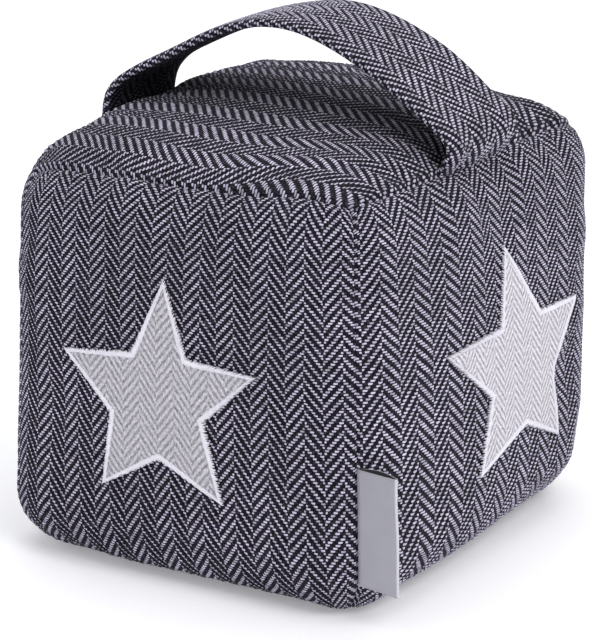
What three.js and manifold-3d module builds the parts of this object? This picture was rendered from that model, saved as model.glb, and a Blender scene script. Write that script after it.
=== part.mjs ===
// Weighted fabric door stop: a soft block in herringbone cloth, filled and sealed, with a carrying strap over
// the top, a star appliqué on the front and on the right side, and a small folded ribbon label in one seam.
// Millimetres, +Z up. The origin is the middle of the flat base. The front faces -Y and the right side +X.

import * as THREE from 'three';
import Module from 'manifold-3d';
import { mergeVertices } from 'three/addons/utils/BufferGeometryUtils.js';

const wasm = await Module();
wasm.setup();

// Block
const BLOCK_WIDTH = 140;
const BLOCK_DEPTH = 150;
const BLOCK_HEIGHT = 138.5;
const EDGE_RADIUS = 21;
const TOP_CROWN = 6;
const SIDE_BULGE = 2;
const SIDE_SAG = 0.25;
const CORNER_DROP = 2.5;
const NEAR_CORNER_LIFT = 4;
const CORNER_SHARPNESS = 4;
const FOOT_SPREAD = 0.02;
const WRAP_UNDER = 75;

// Seams between the cover's panels
const SEAM_DEPTH = 1.1;
const SEAM_BAND = 1.7;
const SEAM_STEP = 8;
const BASE_SEAM_DEPTH = 0;

// Herringbone cloth: columns of slanting ribs that mirror each other
const COLUMN_WIDTH = 7.3;
const RIB_PITCH = 7.5;
const RIB_SLOPE = 0.9;
const RIB_RELIEF = 0.9;
const ROW_SQUEEZE = 0.15;

// Carrying strap
const STRAP_WIDTH = 42;
const STRAP_THICKNESS = 4;
const STRAP_COLUMNS = 6;
const STRAP_EDGE_ROUND = 1.2;
const STRAP_RIB_RELIEF = 0.7;
const STRAP_TWIST = 6;
const TWIST_START = 0.45;
const TWIST_FULL = 0.8;
const TWIST_END = 0.86;
const STRAP_CROWN_HEIGHT = 38;
const STRAP_CROWN_OFFSET = 8;

// Places on the strap's middle line, as distances inwards from the seam and up from it
const LEFT_SHOULDER = [4.3, 11];
const LEFT_HAUNCH = [21.8, 24.2];
const RIGHT_BULGE = [-4, 8.5];
const RIGHT_SHOULDER = [4.8, 18];
const RIGHT_HAUNCH = [23.8, 29.4];

// The strap's feet: how far each stands in from its seam, and the length over which its slanted cut fades
const LEFT_FOOT_INSET = 1.7;
const RIGHT_FOOT_INSET = 0.3;
const SLANT_LENGTH = 10;

// Star appliqués
const STAR_POINTS = 5;
const STAR_RADIUS = 39;
const STAR_INNER_RADIUS = 17.7;
const STAR_THICKNESS = 0.8;
const STAR_BACK_STEPS = 8;
const STAR_RIB_RELIEF = 0.4;
const FRONT_STAR = { offset: -3.5, height: 64.5, tilt: 2, widen: 0.98, slant: 0.06 };
const RIGHT_STAR = { offset: 11.5, height: 63.5, tilt: -2.5, widen: 1.12, slant: -0.12 };
const BORDER_WIDTH = 1.6;
const BORDER_THICKNESS = 1.2;
const BORDER_SHOULDER = 0.85;
const BORDER_STEPS = 3;

// Ribbon label, folded over and caught in the seam between the front and the right side
const LABEL_HEIGHT = 38.5;
const LABEL_BASE = 13.5;
const LABEL_REACH = 15;
const LABEL_PLY = 0.4;
const LABEL_PLY_GAP = 0.5;
const LABEL_SWING = -5.5;
const LABEL_STEPS = 4;
const LABEL_FOLD_SIDES = 6;

// Gap kept between pieces that touch
const CLEARANCE = 0.3;

const SIDE_NAMES = ['front', 'right', 'back', 'left'];
const UP = new THREE.Vector3(0, 0, 1);

const { clamp, lerp, smoothstep, euclideanModulo, degToRad } = THREE.MathUtils;
const even = (count) => Math.max(2, 2 * Math.round(count / 2));

const QUARTER = Math.PI / 4;
const WRAP = degToRad(WRAP_UNDER);
const HALF_WIDTH = BLOCK_WIDTH / 2;
const HALF_DEPTH = BLOCK_DEPTH / 2;


// Surface of the soft block

// A length along a panel, from its middle, gives the straight part and the angle gone round the edge.
function aroundEdge(length, half) {
  const straight = clamp(length, EDGE_RADIUS - half, half - EDGE_RADIUS);
  return { straight, angle: (length - straight) / EDGE_RADIUS };
}

function bulgeProfile(a, b) {
  return clamp(1 - a * a, 0, 1) * clamp(1 - b * b, 0, 1);
}

// The filling settles: the foot spreads and the top corners are drawn down, but the one between the front and
// the right side stands up.
function settle(point) {
  const rise = smoothstep(point.z / BLOCK_HEIGHT, 0.3, 1);
  const towardsCorner = Math.abs(point.x * point.y / (HALF_WIDTH * HALF_DEPTH)) ** CORNER_SHARPNESS;
  const lift = point.x > 0 && point.y < 0 ? NEAR_CORNER_LIFT : -CORNER_DROP;
  const spread = 1 + FOOT_SPREAD * (1 - point.z / BLOCK_HEIGHT);
  return new THREE.Vector3(point.x * spread, point.y * spread, point.z + lift * rise * towardsCorner);
}

// A side panel runs between two upright seams, and from under the block to the top seam.
function sidePanel(turn) {
  const half = turn % 2 ? HALF_DEPTH : HALF_WIDTH;
  const reach = turn % 2 ? HALF_WIDTH : HALF_DEPTH;
  const width = 2 * (half - EDGE_RADIUS + EDGE_RADIUS * QUARTER);
  const under = EDGE_RADIUS * WRAP;
  const upright = BLOCK_HEIGHT - 2 * EDGE_RADIUS;
  const length = under + upright + EDGE_RADIUS * QUARTER;
  const place = (s, t) => {
    const along = t + length / 2;
    const climbed = clamp(along - under, 0, upright);
    const lift = Math.tan((along - under - climbed) / EDGE_RADIUS);
    const { straight, angle } = aroundEdge(s, half);
    const out = new THREE.Vector3(Math.tan(angle), 1, lift).setLength(EDGE_RADIUS);
    const bulge = SIDE_BULGE * bulgeProfile(2 * s / width, 2 * t / length) * (1 - SIDE_SAG * 2 * t / length);
    const across = straight + out.x;
    const away = reach - EDGE_RADIUS + out.y + bulge;
    const z = EDGE_RADIUS + climbed + out.z;
    const point = new THREE.Vector3(across, -away, z);
    return settle(point.applyAxisAngle(UP, turn * Math.PI / 2));
  };
  return { width, length, place };
}

// The top and the base run between the four side panels. Their columns of ribs lie along X.
function lidPanel(side, edgeAngle, crown) {
  const width = 2 * (HALF_DEPTH - EDGE_RADIUS + EDGE_RADIUS * edgeAngle);
  const length = 2 * (HALF_WIDTH - EDGE_RADIUS + EDGE_RADIUS * edgeAngle);
  const place = (s, t) => {
    const x = aroundEdge(t, HALF_WIDTH);
    const y = aroundEdge(-side * s, HALF_DEPTH);
    const out = new THREE.Vector3(Math.tan(x.angle), Math.tan(y.angle), 1).setLength(EDGE_RADIUS);
    const rise = out.z - EDGE_RADIUS + crown * bulgeProfile(2 * s / width, 2 * t / length);
    const level = side > 0 ? BLOCK_HEIGHT + rise : -rise;
    return settle(new THREE.Vector3(x.straight + out.x, y.straight + out.y, level));
  };
  return { width, length, place };
}

const sides = SIDE_NAMES.map((name, turn) => sidePanel(turn));
const topPanel = lidPanel(1, QUARTER, TOP_CROWN);
const basePanel = lidPanel(-1, Math.PI / 2 - WRAP, 0);

// The panel coordinate of a height over the floor, on a side's upright middle
function levelOn(panel, height) {
  return height - EDGE_RADIUS + EDGE_RADIUS * WRAP - panel.length / 2;
}

// A point of the panel moved out along its normal
function offsetPoint(panel, s, t, height) {
  const step = 0.05;
  const alongS = panel.place(s + step, t).sub(panel.place(s - step, t));
  const alongT = panel.place(s, t + step).sub(panel.place(s, t - step));
  return panel.place(s, t).addScaledVector(alongS.cross(alongT).normalize(), height);
}


// Herringbone

// How far the ribs have climbed at this distance across the columns: up in one column and down in the next
function zigzag(s, columnWidth) {
  const phase = euclideanModulo(s, 2 * columnWidth);
  return RIB_SLOPE * (phase < columnWidth ? phase : 2 * columnWidth - phase);
}

// Rows of a rib's crest and hollow in turn. Past the ends they are squeezed together, and the relief fades.
function ribRows(length, columnWidth) {
  const step = RIB_PITCH / 2;
  const climb = RIB_SLOPE * columnWidth;
  const count = Math.ceil((length + climb) / step);
  const at = (row, s) => {
    const free = row * step + zigzag(s, columnWidth) - climb;
    const place = clamp(free, row * ROW_SQUEEZE, length - (count - row) * ROW_SQUEEZE);
    const fade = clamp(free / step, 0, 1) * clamp((length - free) / step, 0, 1);
    return { place: place - length / 2, relief: fade * (row % 2 ? 0.5 : -0.5) };
  };
  return { count, at };
}

// Collects the vertices and triangles of one closed surface
class Surface {
  constructor() {
    this.positions = [];
    this.triangles = [];
  }

  vertex(point) {
    this.positions.push(point.x, point.y, point.z);
    return this.positions.length / 3 - 1;
  }

  triangle(a, b, c) {
    this.triangles.push(a, b, c);
  }

  quad(a, b, c, d) {
    this.triangle(a, b, c);
    this.triangle(a, c, d);
  }

  // Fills the band between an outer and an inner line that run the same way, whatever their numbers of points
  band(outer, inner) {
    let i = 0;
    let j = 0;
    while (i < outer.length - 1 || j < inner.length - 1) {
      const outerNext = (i + 1) / (outer.length - 1);
      const innerNext = (j + 1) / (inner.length - 1);
      if (j === inner.length - 1 || (i < outer.length - 1 && outerNext <= innerNext)) {
        this.triangle(outer[i], outer[i + 1], inner[j]);
        i += 1;
      } else {
        this.triangle(inner[j + 1], inner[j], outer[i]);
        j += 1;
      }
    }
  }

  geometry() {
    const geometry = new THREE.BufferGeometry();
    geometry.setAttribute('position', new THREE.Float32BufferAttribute(this.positions, 3));
    geometry.setIndex(this.triangles);
    return geometry;
  }
}

// Fills a panel from its rows of vertices and returns its border as four lines, counterclockwise from outside
function fillPanel(surface, rows) {
  for (let j = 0; j < rows.length - 1; j += 1) {
    for (let i = 0; i < rows[j].length - 1; i += 1) {
      surface.quad(rows[j][i], rows[j][i + 1], rows[j + 1][i + 1], rows[j + 1][i]);
    }
  }
  const first = rows[0];
  const last = rows[rows.length - 1];
  const right = rows.map((row) => row[row.length - 1]);
  const left = rows.map((row) => row[0]);
  return [first, right, [...last].reverse(), left.reverse()];
}

// The lines across the columns: one at each change of column, and one along each seam
function columnLines(width) {
  const count = Math.round(width / COLUMN_WIDTH);
  const lines = [];
  for (let i = 1; i < count; i += 1) lines.push(-width / 2 + i * width / count);
  const edge = width / 2 - SEAM_BAND;
  return { columnWidth: width / count, lines: [-edge, ...lines, edge] };
}

function ribbedPanel(surface, panel) {
  const { columnWidth, lines } = columnLines(panel.width);
  const rows = ribRows(panel.length - 2 * SEAM_BAND, columnWidth);
  const grid = [];
  for (let row = 0; row <= rows.count; row += 1) {
    grid.push(lines.map((s) => {
      const rib = rows.at(row, s + panel.width / 2);
      return surface.vertex(offsetPoint(panel, s, rib.place, rib.relief * RIB_RELIEF));
    }));
  }
  return fillPanel(surface, grid);
}

// The base is plain. Its middle is the flat that the block stands on.
function plainPanel(surface, panel) {
  const lines = (size, flat) => {
    const edge = size / 2 - SEAM_BAND;
    return [-edge, -flat, -flat / 2, 0, flat / 2, flat, edge];
  };
  const across = lines(panel.width, HALF_DEPTH - EDGE_RADIUS);
  const along = lines(panel.length, HALF_WIDTH - EDGE_RADIUS);
  return fillPanel(surface, along.map((t) => across.map((s) => surface.vertex(panel.place(s, t)))));
}


// Filled body: the whole cover with what it holds, as one sealed solid

function bodyGeometry() {
  const surface = new Surface();
  const corners = new Map();

  // The sunk line of one seam, from corner to corner. Seams that meet share their corner's vertex.
  const seam = (panel, from, to, startKey, endKey) => {
    const depth = (point) => (point.z < EDGE_RADIUS / 4 ? BASE_SEAM_DEPTH : SEAM_DEPTH);
    const start = panel.place(...from);
    const end = panel.place(...to);
    const count = Math.round(start.distanceTo(end) / SEAM_STEP);
    const sunk = (f) => {
      const s = lerp(from[0], to[0], f);
      const t = lerp(from[1], to[1], f);
      const point = panel.place(s, t);
      const inward = new THREE.Vector3(0, 0, BLOCK_HEIGHT / 2).sub(point).normalize();
      return point.addScaledVector(inward, depth(point));
    };
    const corner = (key, f) => {
      if (!corners.has(key)) corners.set(key, surface.vertex(sunk(f)));
      return corners.get(key);
    };
    const line = [corner(startKey, 0)];
    for (let i = 1; i < count; i += 1) line.push(surface.vertex(sunk(i / count)));
    line.push(corner(endKey, 1));
    return line;
  };

  const uprightSeams = [];
  const topSeams = [];
  const baseSeams = [];
  sides.forEach((panel, turn) => {
    const [x, y] = [panel.width / 2, panel.length / 2];
    const next = (turn + 1) % sides.length;
    uprightSeams.push(seam(panel, [x, -y], [x, y], `base ${next}`, `top ${next}`));
    topSeams.push(seam(panel, [-x, y], [x, y], `top ${turn}`, `top ${next}`));
    baseSeams.push(seam(panel, [-x, -y], [x, -y], `base ${turn}`, `base ${next}`));
  });

  const back = (line) => [...line].reverse();
  const close = (seams, border) => border.forEach((line, i) => surface.band(seams[i], line));
  sides.forEach((panel, turn) => {
    const previous = (turn + sides.length - 1) % sides.length;
    const around = [baseSeams[turn], uprightSeams[turn], back(topSeams[turn]), back(uprightSeams[previous])];
    close(around, ribbedPanel(surface, panel));
  });
  close([topSeams[3], topSeams[0], topSeams[1], topSeams[2]], ribbedPanel(surface, topPanel));
  close([baseSeams[3], baseSeams[2], baseSeams[1], baseSeams[0]].map(back), plainPanel(surface, basePanel));
  return surface.geometry();
}


// Carrying strap

// A foot stands on the top panel beside its seam. Its cut end slants, to lie along the panel.
function strapFoot(side, inset, next) {
  const t = side * (topPanel.length / 2 - inset);
  const seat = offsetPoint(topPanel, 0, t, RIB_RELIEF / 2 + CLEARANCE);
  const down = topPanel.place(0, t + side * inset).sub(topPanel.place(0, t - side * inset)).normalize();
  const up = next.clone().sub(seat).normalize();
  const out = new THREE.Vector3(side * up.z, 0, -side * up.x);
  const slant = -down.dot(up) / down.dot(out);
  return { slant, start: seat.addScaledVector(up, -slant * STRAP_THICKNESS / 2) };
}

// The strap's middle line, from the left top seam over to the right one
function strapPath() {
  const leftSeam = topPanel.place(0, -topPanel.length / 2);
  const rightSeam = topPanel.place(0, topPanel.length / 2);
  const left = ([inward, up]) => new THREE.Vector3(leftSeam.x + inward, 0, leftSeam.z + up);
  const right = ([inward, up]) => new THREE.Vector3(rightSeam.x - inward, 0, rightSeam.z + up);
  const rising = [LEFT_SHOULDER, LEFT_HAUNCH].map(left);
  const crown = new THREE.Vector3(STRAP_CROWN_OFFSET, 0, rightSeam.z + STRAP_CROWN_HEIGHT);
  const falling = [RIGHT_HAUNCH, RIGHT_SHOULDER, RIGHT_BULGE].map(right);
  const leftFoot = strapFoot(-1, LEFT_FOOT_INSET, rising[0]);
  const rightFoot = strapFoot(1, RIGHT_FOOT_INSET, falling[2]);
  const points = [leftFoot.start, ...rising, crown, ...falling, rightFoot.start];
  const path = new THREE.CatmullRomCurve3(points, false, 'centripetal');
  return { path, leftSlant: leftFoot.slant, rightSlant: rightFoot.slant };
}

// The cloth is folded to a band, so both faces carry ribs and both edges are round.
function strapGeometry() {
  const surface = new Surface();
  const { path, leftSlant, rightSlant } = strapPath();
  const length = path.getLength();
  const columnWidth = STRAP_WIDTH / STRAP_COLUMNS;
  const rows = ribRows(length, columnWidth);
  const twist = degToRad(STRAP_TWIST);

  // Both ends are cut at a slant: the inner face stops short of the outer one.
  const slant = (along, height) => {
    const inset = STRAP_THICKNESS / 2 - height;
    const leftCut = leftSlant * (1 - smoothstep(along, 0, SLANT_LENGTH));
    const rightCut = rightSlant * smoothstep(along, length - SLANT_LENGTH, length);
    return along + inset * (leftCut - rightCut);
  };

  const place = (across, along, height) => {
    const f = clamp(slant(along + length / 2, height) / length, 0, 1);
    const point = path.getPointAt(f);
    const tangent = path.getTangentAt(f);
    const lean = twist * smoothstep(f, TWIST_START, TWIST_FULL) * (1 - smoothstep(f, TWIST_END, 1));
    const side = new THREE.Vector3(0, 1, 0).applyAxisAngle(tangent, -lean);
    const out = side.clone().cross(tangent).negate();
    return point.addScaledVector(side, across).addScaledVector(out, height);
  };

  // One loop round the section: the outer face, one edge, the inner face, the other edge
  const half = STRAP_WIDTH / 2;
  const faceLines = [];
  const faceEdge = half - STRAP_EDGE_ROUND;
  for (let i = 0; i <= STRAP_COLUMNS; i += 1) {
    faceLines.push(clamp(i * columnWidth - half, -faceEdge, faceEdge));
  }
  const section = [
    ...faceLines.map((across) => ({ across, side: 1 })),
    { across: half, side: 0 },
    ...[...faceLines].reverse().map((across) => ({ across, side: -1 })),
    { across: -half, side: 0 },
  ];

  const rings = [];
  for (let row = 0; row <= rows.count; row += 1) {
    rings.push(section.map(({ across, side }) => {
      const rib = rows.at(row, across + half);
      const height = side * (STRAP_THICKNESS / 2 + rib.relief * STRAP_RIB_RELIEF);
      return surface.vertex(place(across, rib.place, height));
    }));
  }
  const around = section.length;
  for (let row = 0; row < rows.count; row += 1) {
    for (let i = 0; i < around; i += 1) {
      const j = (i + 1) % around;
      surface.quad(rings[row][j], rings[row][i], rings[row + 1][i], rings[row + 1][j]);
    }
  }

  // The cut ends are flat: each face line joins the line opposite it.
  const lastLine = STRAP_COLUMNS;
  const opposite = (i) => 2 * STRAP_COLUMNS + 2 - i;
  [[rings[0], false], [rings[rows.count], true]].forEach(([ring, far]) => {
    const face = (a, b, c) => (far ? surface.triangle(a, c, b) : surface.triangle(a, b, c));
    for (let i = 0; i < lastLine; i += 1) {
      face(ring[i], ring[i + 1], ring[opposite(i + 1)]);
      face(ring[i], ring[opposite(i + 1)], ring[opposite(i)]);
    }
    face(ring[lastLine], ring[lastLine + 1], ring[lastLine + 2]);
    face(ring[around - 1], ring[0], ring[around - 2]);
  });
  return surface.geometry();
}


// Star appliqués

// Where a star's own coordinates lie on its panel
function starFrame(panel, star) {
  return { ...star, panel, level: levelOn(panel, star.height), turn: degToRad(star.tilt) };
}

// Corners of the stitched outline, moved out by a margin that is measured square to its edges
function starCorners(frame, margin) {
  const tipAngle = Math.PI / STAR_POINTS;
  const outer = new THREE.Vector2(0, STAR_RADIUS);
  const inner = new THREE.Vector2(Math.sin(tipAngle), Math.cos(tipAngle)).multiplyScalar(STAR_INNER_RADIUS);
  const edge = inner.clone().sub(outer).normalize();
  const normal = new THREE.Vector2(-edge.y, edge.x);
  const grown = margin / normal.dot(outer.clone().normalize());
  const grownInner = margin / normal.dot(inner.clone().normalize());
  const corners = [];
  for (let i = 0; i < 2 * STAR_POINTS; i += 1) {
    const radius = i % 2 ? STAR_INNER_RADIUS + grownInner : STAR_RADIUS + grown;
    const angle = Math.PI / 2 + i * tipAngle + frame.turn;
    const [across, up] = [radius * Math.cos(angle), radius * Math.sin(angle)];
    const cut = across * frame.widen + up * frame.slant;
    corners.push(new THREE.Vector2(frame.offset + cut, frame.level + up));
  }
  return corners;
}

function toManifold(geometry) {
  const plain = geometry.clone();
  plain.deleteAttribute('normal');
  plain.deleteAttribute('uv');
  const merged = mergeVertices(plain);
  const mesh = new wasm.Mesh({
    numProp: 3,
    vertProperties: new Float32Array(merged.attributes.position.array),
    triVerts: new Uint32Array(merged.index.array),
  });
  return new wasm.Manifold(mesh);
}

function fromManifold(solid) {
  const mesh = solid.getMesh();
  const geometry = new THREE.BufferGeometry();
  geometry.setAttribute('position', new THREE.BufferAttribute(new Float32Array(mesh.vertProperties), 3));
  geometry.setIndex(new THREE.BufferAttribute(new Uint32Array(mesh.triVerts), 1));
  return geometry;
}

// Height of a star's underside over the panel, clear of the crests of the ribs
const STAR_SEAT = RIB_RELIEF / 2 + CLEARANCE;

// A ribbed sheet that lies on the panel, wide enough for the star
function starSheet(frame) {
  const surface = new Surface();
  const { columnWidth } = columnLines(frame.panel.width);
  const columns = even(2 * STAR_RADIUS * frame.widen / columnWidth) + 2;
  const width = columns * columnWidth;
  const length = 2 * STAR_RADIUS + 2 * RIB_PITCH;
  const rows = ribRows(length, columnWidth);
  const vertex = (s, t, up) => {
    const point = offsetPoint(frame.panel, s + frame.offset, t + frame.level, STAR_SEAT + up);
    return surface.vertex(point);
  };
  const upper = [];
  for (let row = 0; row <= rows.count; row += 1) {
    const line = [];
    for (let i = 0; i <= columns; i += 1) {
      const s = i * columnWidth - width / 2;
      const rib = rows.at(row, s + width / 2);
      line.push(vertex(s, rib.place, STAR_THICKNESS + rib.relief * STAR_RIB_RELIEF));
    }
    upper.push(line);
  }
  const lower = [];
  for (let row = 0; row <= STAR_BACK_STEPS; row += 1) {
    const line = [];
    for (let i = STAR_BACK_STEPS; i >= 0; i -= 1) {
      line.push(vertex(width * (i / STAR_BACK_STEPS - 0.5), length * (row / STAR_BACK_STEPS - 0.5), 0));
    }
    lower.push(line);
  }
  const top = fillPanel(surface, upper);
  const bottom = fillPanel(surface, lower);
  const matching = [bottom[0], bottom[3], bottom[2], bottom[1]];
  top.forEach((line, side) => surface.band([...matching[side]].reverse(), line));
  return surface.geometry();
}

// The star is cut from the sheet, straight through.
function starGeometry(frame, turn) {
  const corners = starCorners(frame, -BORDER_WIDTH - CLEARANCE);
  const outline = new THREE.Shape(corners.map((corner) => panelFlat(frame, corner)));
  const depth = BLOCK_WIDTH + BLOCK_DEPTH;
  const cutter = new THREE.ExtrudeGeometry(outline, { depth, bevelEnabled: false });
  cutter.rotateX(Math.PI / 2);
  cutter.rotateZ(turn * Math.PI / 2);
  return fromManifold(toManifold(starSheet(frame)).intersect(toManifold(cutter)));
}

// A corner of the outline as it is seen square to the panel: how far across, and how high
function panelFlat(frame, corner) {
  const point = frame.panel.place(corner.x, corner.y);
  const across = frame.panel === sides[0] ? point.x : point.y;
  return new THREE.Vector2(across, point.z);
}

// Satin stitch round the star: a raised band that follows the outline
function borderGeometry(frame) {
  const surface = new Surface();
  const inside = starCorners(frame, -BORDER_WIDTH);
  const outside = starCorners(frame, 0);
  const rings = [];
  inside.forEach((corner, i) => {
    const next = (i + 1) % inside.length;
    for (let step = 0; step < BORDER_STEPS; step += 1) {
      const near = corner.clone().lerp(inside[next], step / BORDER_STEPS);
      const far = outside[i].clone().lerp(outside[next], step / BORDER_STEPS);
      const middle = near.clone().lerp(far, 0.5);
      const point = (at, height) => surface.vertex(offsetPoint(frame.panel, at.x, at.y, STAR_SEAT + height));
      rings.push([
        point(near, 0),
        point(near, BORDER_SHOULDER),
        point(middle, BORDER_THICKNESS),
        point(far, BORDER_SHOULDER),
        point(far, 0),
      ]);
    }
  });
  rings.forEach((ring, i) => {
    const next = rings[(i + 1) % rings.length];
    ring.forEach((vertex, k) => {
      const m = (k + 1) % ring.length;
      surface.quad(vertex, ring[m], next[m], next[k]);
    });
  });
  return surface.geometry();
}


// Ribbon label: two plies and the fold between them, set out from the seam at each level

function labelGeometry() {
  const surface = new Surface();
  const halfGap = LABEL_PLY_GAP / 2;
  const foldRadius = halfGap + LABEL_PLY;
  const arc = (radius, from, to) => {
    const points = [];
    for (let i = 0; i <= LABEL_FOLD_SIDES; i += 1) {
      const angle = from + (to - from) * i / LABEL_FOLD_SIDES;
      const across = LABEL_REACH - foldRadius + radius * Math.cos(angle);
      points.push(new THREE.Vector2(across, radius * Math.sin(angle)));
    }
    return points;
  };
  const outline = [
    new THREE.Vector2(0, -foldRadius),
    ...arc(foldRadius, -Math.PI / 2, Math.PI / 2),
    new THREE.Vector2(0, foldRadius),
    new THREE.Vector2(0, halfGap),
    ...arc(halfGap, Math.PI / 2, -Math.PI / 2),
    new THREE.Vector2(0, -halfGap),
  ];

  const front = sides[0];
  const swing = degToRad(LABEL_SWING);
  const reach = new THREE.Vector3(Math.cos(swing), Math.sin(swing), 0);
  const thickness = new THREE.Vector3(-reach.y, reach.x, 0);
  const outward = new THREE.Vector3(1, -1, 0).normalize();
  const loops = [];
  for (let i = 0; i <= LABEL_STEPS; i += 1) {
    const level = LABEL_BASE + LABEL_HEIGHT * i / LABEL_STEPS;
    const root = front.place(front.width / 2, levelOn(front, level));
    const start = new THREE.Vector3(root.x, root.y, level).addScaledVector(outward, CLEARANCE);
    loops.push(outline.map((point) => surface.vertex(
      start.clone().addScaledVector(reach, point.x).addScaledVector(thickness, point.y),
    )));
  }
  for (let i = 0; i < LABEL_STEPS; i += 1) {
    outline.forEach((point, k) => {
      const m = (k + 1) % outline.length;
      surface.quad(loops[i][k], loops[i][m], loops[i + 1][m], loops[i + 1][k]);
    });
  }
  THREE.ShapeUtils.triangulateShape(outline, []).forEach(([a, b, c]) => {
    surface.triangle(loops[0][a], loops[0][c], loops[0][b]);
    surface.triangle(loops[LABEL_STEPS][a], loops[LABEL_STEPS][b], loops[LABEL_STEPS][c]);
  });
  return surface.geometry();
}


// Materials and assembly

const charcoalCloth = new THREE.MeshStandardMaterial({ color: 0x4d4a57, roughness: 0.92, metalness: 0 });
const strapCloth = new THREE.MeshStandardMaterial({ color: 0x55525f, roughness: 0.92, metalness: 0 });
const starCloth = new THREE.MeshStandardMaterial({ color: 0xb9b6c3, roughness: 0.88, metalness: 0 });
const stitchThread = new THREE.MeshStandardMaterial({ color: 0xe2e1ea, roughness: 0.55, metalness: 0 });
const satinRibbon = new THREE.MeshStandardMaterial({ color: 0x9c9ca6, roughness: 0.4, metalness: 0 });

function piece(name, geometry, material) {
  geometry.computeVertexNormals();
  const mesh = new THREE.Mesh(geometry, material);
  mesh.name = name;
  return mesh;
}

const frontStar = starFrame(sides[0], FRONT_STAR);
const rightStar = starFrame(sides[1], RIGHT_STAR);

const doorStop = new THREE.Group();
doorStop.name = 'door_stop';
doorStop.add(
  piece('filled_body', bodyGeometry(), charcoalCloth),
  piece('carry_strap', strapGeometry(), strapCloth),
  piece('front_star', starGeometry(frontStar, 0), starCloth),
  piece('front_star_stitching', borderGeometry(frontStar), stitchThread),
  piece('right_star', starGeometry(rightStar, 1), starCloth),
  piece('right_star_stitching', borderGeometry(rightStar), stitchThread),
  piece('ribbon_label', labelGeometry(), satinRibbon),
);

export default doorStop;
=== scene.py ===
import math

import bpy
import numpy as np
from mathutils import Matrix, Vector


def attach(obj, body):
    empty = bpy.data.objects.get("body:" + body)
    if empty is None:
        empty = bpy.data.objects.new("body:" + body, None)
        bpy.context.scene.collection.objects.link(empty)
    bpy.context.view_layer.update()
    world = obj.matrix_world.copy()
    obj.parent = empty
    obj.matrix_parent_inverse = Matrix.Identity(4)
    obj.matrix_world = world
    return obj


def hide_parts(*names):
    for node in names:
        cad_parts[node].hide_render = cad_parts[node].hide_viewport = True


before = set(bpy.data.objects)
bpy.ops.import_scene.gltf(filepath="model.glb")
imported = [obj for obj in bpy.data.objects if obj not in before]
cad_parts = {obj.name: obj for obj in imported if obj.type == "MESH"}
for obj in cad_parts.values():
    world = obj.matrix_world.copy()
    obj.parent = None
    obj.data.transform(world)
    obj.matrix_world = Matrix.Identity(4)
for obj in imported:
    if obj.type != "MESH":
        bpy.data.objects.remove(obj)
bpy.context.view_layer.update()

# Lengths are in millimetres up to make(), which writes them in metres.
# Materials, floor, lights and camera are in metres.

# Block, as in the CAD source
WIDTH, DEPTH, HEIGHT = 140.0, 150.0, 138.5
EDGE = 21.0
CROWN = 6.0
BULGE, SAG = 2.0, 0.25
DROP, NEAR_LIFT, SHARPNESS = 2.5, 4.0, 4
SPREAD = 0.02
WRAP = math.radians(75.0)
QUARTER = math.pi / 4
HALF_X, HALF_Y = WIDTH / 2, DEPTH / 2

# Cloth: warp ends across a column, picks until a rib comes again, and the seams' grooves
ENDS = 8
REPEAT = 4
RIB_HEIGHT = 0.26
LINES_IN_COLUMN = (0.0, 0.12, 0.5, 0.88)
SEAM_DEPTH = 1.0
SEAM_REACH = 1.7
SEAM_LINES = (0.0, 0.45, 1.0, 1.7)

rng = np.random.default_rng(7)


def smooth(x, low, high):
    t = np.clip((np.asarray(x, float) - low) / (high - low), 0, 1)
    return t * t * (3 - 2 * t)


def hump(x, place, reach):
    return np.exp(-((x - place) / reach) ** 2)


def unit(v):
    return v / np.maximum(np.linalg.norm(v, axis=-1, keepdims=True), 1e-12)


def dome(a, b):
    """1 in a panel's middle and 0 at its seams, which lie at -1 and 1."""
    return np.clip(1 - a * a, 0, 1) * np.clip(1 - b * b, 0, 1)


# ---- soft block ----

def settle(p):
    x, y, z = p[..., 0], p[..., 1], p[..., 2]
    rise = smooth(z / HEIGHT, 0.3, 1)
    corner = np.abs(x * y / (HALF_X * HALF_Y)) ** SHARPNESS
    lift = np.where((x > 0) & (y < 0), NEAR_LIFT, -DROP)
    spread = 1 + SPREAD * (1 - z / HEIGHT)
    return np.stack([x * spread, y * spread, z + lift * rise * corner], -1)


def around_edge(length, half):
    straight = np.clip(length, EDGE - half, half - EDGE)
    return straight, (length - straight) / EDGE


class Panel:
    """A panel of the cover. s runs across the cloth's columns and t along them."""

    def point(self, s, t):
        s, t = np.broadcast_arrays(np.asarray(s, float), np.asarray(t, float))
        return self.place(s, t)

    def normal(self, s, t, step=0.05):
        a = self.point(s + step, t) - self.point(s - step, t)
        b = self.point(s, t + step) - self.point(s, t - step)
        return unit(np.cross(a, b))


class Side(Panel):
    def __init__(self, turn):
        self.turn = turn
        self.half, self.reach = (HALF_Y, HALF_X) if turn % 2 else (HALF_X, HALF_Y)
        self.width = 2 * (self.half - EDGE + EDGE * QUARTER)
        self.under = EDGE * WRAP
        self.upright = HEIGHT - 2 * EDGE
        self.length = self.under + self.upright + EDGE * QUARTER

    def place(self, s, t):
        along = t + self.length / 2
        climbed = np.clip(along - self.under, 0, self.upright)
        lift = np.tan((along - self.under - climbed) / EDGE)
        straight, angle = around_edge(s, self.half)
        out = unit(np.stack([np.tan(angle), np.ones_like(lift), lift], -1)) * EDGE
        a, b = 2 * s / self.width, 2 * t / self.length
        bulge = BULGE * dome(a, b) * (1 - SAG * b)
        x = straight + out[..., 0]
        y = -(self.reach - EDGE + out[..., 1] + bulge)
        z = EDGE + climbed + out[..., 2]
        c, d = ((1, 0), (0, 1), (-1, 0), (0, -1))[self.turn]
        return settle(np.stack([c * x - d * y, d * x + c * y, z], -1))

    def level(self, height):
        return height - EDGE + EDGE * WRAP - self.length / 2


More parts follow.
